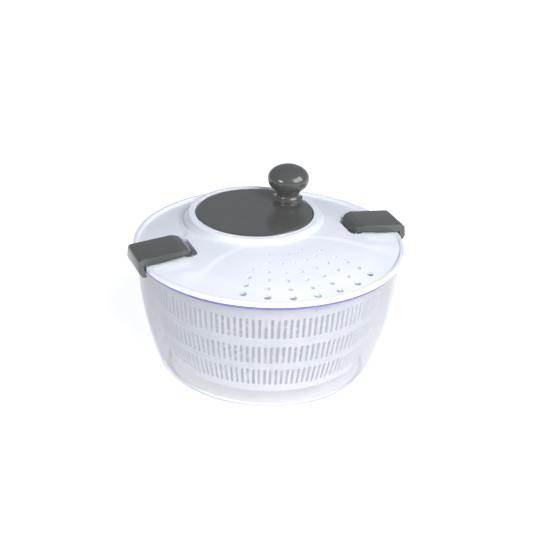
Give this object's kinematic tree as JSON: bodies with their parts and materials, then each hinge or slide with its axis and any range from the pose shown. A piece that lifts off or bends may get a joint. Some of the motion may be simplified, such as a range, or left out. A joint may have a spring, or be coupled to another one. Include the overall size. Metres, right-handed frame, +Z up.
{
  "type": "salad spinner",
  "caption": "Clear bowl with a slotted basket that a geared crank in the domed lid spins; clips at two sides hold the lid to the bowl's rim.",
  "frame": {"origin": "middle of the bowl's foot, on the surface it stands on", "axes": "+Z up; the clips are on +X and -X, the crank is offset towards +Y and the strainer holes are towards -Y"},
  "size_m": [0.2644, 0.2524, 0.1757],
  "materials": {
    "clear_plastic": "clear, glossy, slightly blue at its edges",
    "basket_plastic": "satin white",
    "white_plastic": "smooth cool white",
    "acetal": "smooth natural acetal",
    "grey_plastic": "glossy dark grey",
    "steel": "bright zinc-plated steel",
    "brass": "plain turned brass"
  },
  "bodies": {
    "bowl": {"bowl": "clear_plastic"},
    "basket_bearing": {"basket_bearing": "acetal"},
    "basket": {"basket": "basket_plastic"},
    "lid": {"lid_shell": "white_plastic", "gear_cover": "white_plastic", "cover_screw_1": "steel", "cover_screw_2": "steel", "cover_screw_3": "steel", "cover_screw_4": "steel", "crank_axle": "steel", "crank_screw": "steel", "crank_washer": "steel", "pinion_bush": "brass", "left_clip_pin": "steel", "right_clip_pin": "steel"},
    "crank": {"crank_cover": "grey_plastic", "ring_gear": "acetal", "crank_bush": "brass", "knob_spindle": "steel"},
    "knob": {"crank_knob": "grey_plastic"},
    "drive": {"pinion": "acetal", "drive_plate": "white_plastic", "drive_screw": "steel"},
    "left_clip": {"left_clip": "grey_plastic"},
    "right_clip": {"right_clip": "grey_plastic"}
  },
  "joints": [
    {"name": "basket_lift", "type": "slide", "parent": "bowl", "child": "basket_bearing", "axis": [0, 0, 1], "range_m": [0, 0.115]},
    {"name": "basket_spin", "type": "hinge", "parent": "basket_bearing", "child": "basket", "pos_m": [0, 0, 0.016], "axis": [0, 0, 1], "continuous": true},
    {"name": "lid_lift", "type": "slide", "parent": "basket_bearing", "child": "lid", "axis": [0, 0, 1], "range_m": [0, 0.12]},
    {"name": "crank_spin", "type": "hinge", "parent": "lid", "child": "crank", "pos_m": [0, 0.039, 0.13], "axis": [0, 0, 1], "continuous": true},
    {"name": "knob_spin", "type": "hinge", "parent": "crank", "child": "knob", "pos_m": [0.0389, 0.05194, 0.15], "axis": [0, 0, 1], "continuous": true},
    {"name": "drive_spin", "type": "hinge", "parent": "lid", "child": "drive", "pos_m": [0, 0, 0.12], "axis": [0, 0, 1], "continuous": true},
    {"name": "left_clip_hinge", "type": "hinge", "parent": "lid", "child": "left_clip", "pos_m": [-0.082, 0, 0.1282], "axis": [0, 1, 0], "range_deg": [0, 90]},
    {"name": "right_clip_hinge", "type": "hinge", "parent": "lid", "child": "right_clip", "pos_m": [0.082, 0, 0.1282], "axis": [0, -1, 0], "range_deg": [0, 90]}
  ],
  "couplings": [
    {"joint": "drive_spin", "follows": "crank_spin", "ratio": 4.25},
    {"joint": "basket_spin", "follows": "crank_spin", "ratio": 4.25}
  ]
}
